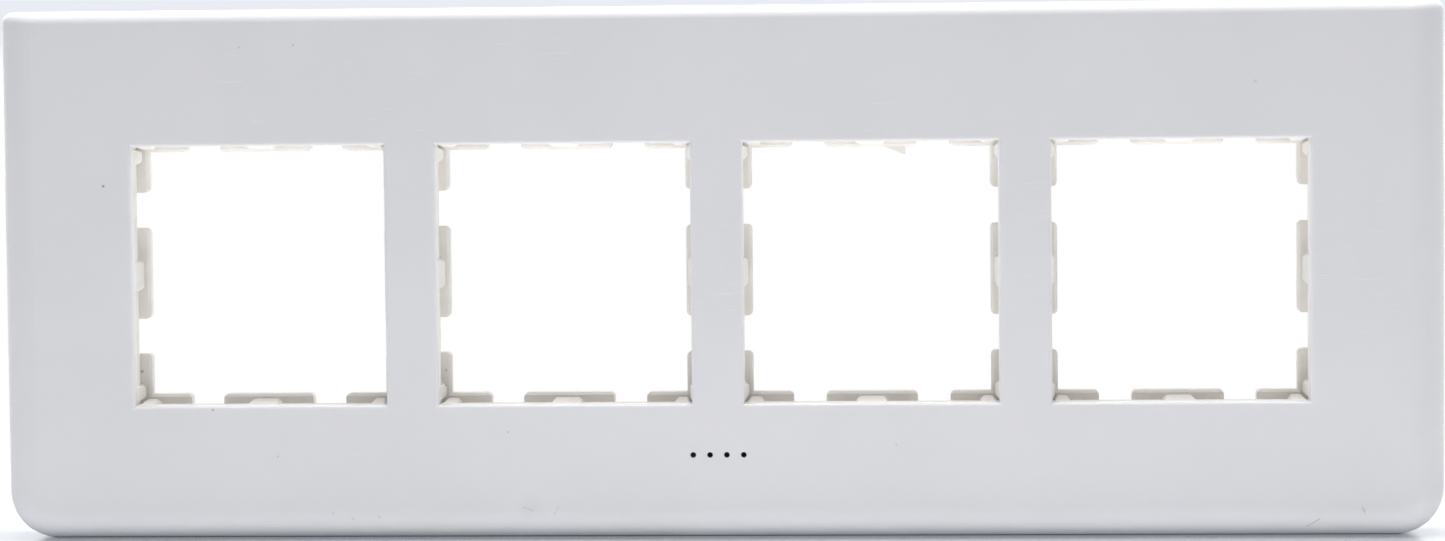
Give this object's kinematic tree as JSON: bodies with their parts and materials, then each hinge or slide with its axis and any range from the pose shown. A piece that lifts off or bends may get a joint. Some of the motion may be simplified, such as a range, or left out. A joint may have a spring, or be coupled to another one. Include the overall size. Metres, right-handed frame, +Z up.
{
  "type": "modular switch frame",
  "caption": "Long moulded cover frame with a row of near-square windows, each with inward lips and snap nibs for modular switches, and a row of small round holes.",
  "frame": {"origin": "centre of the rear rim plane, level with the middle of the row of windows", "axes": "+X to the right along the row of windows, +Z up, and the front face looks along -Y"},
  "size_m": [0.2574, 0.0124, 0.095],
  "materials": {
    "white_plastic": "gloss"
  },
  "bodies": {
    "root": {"window_frame": "white_plastic"}
  },
  "joints": []
}
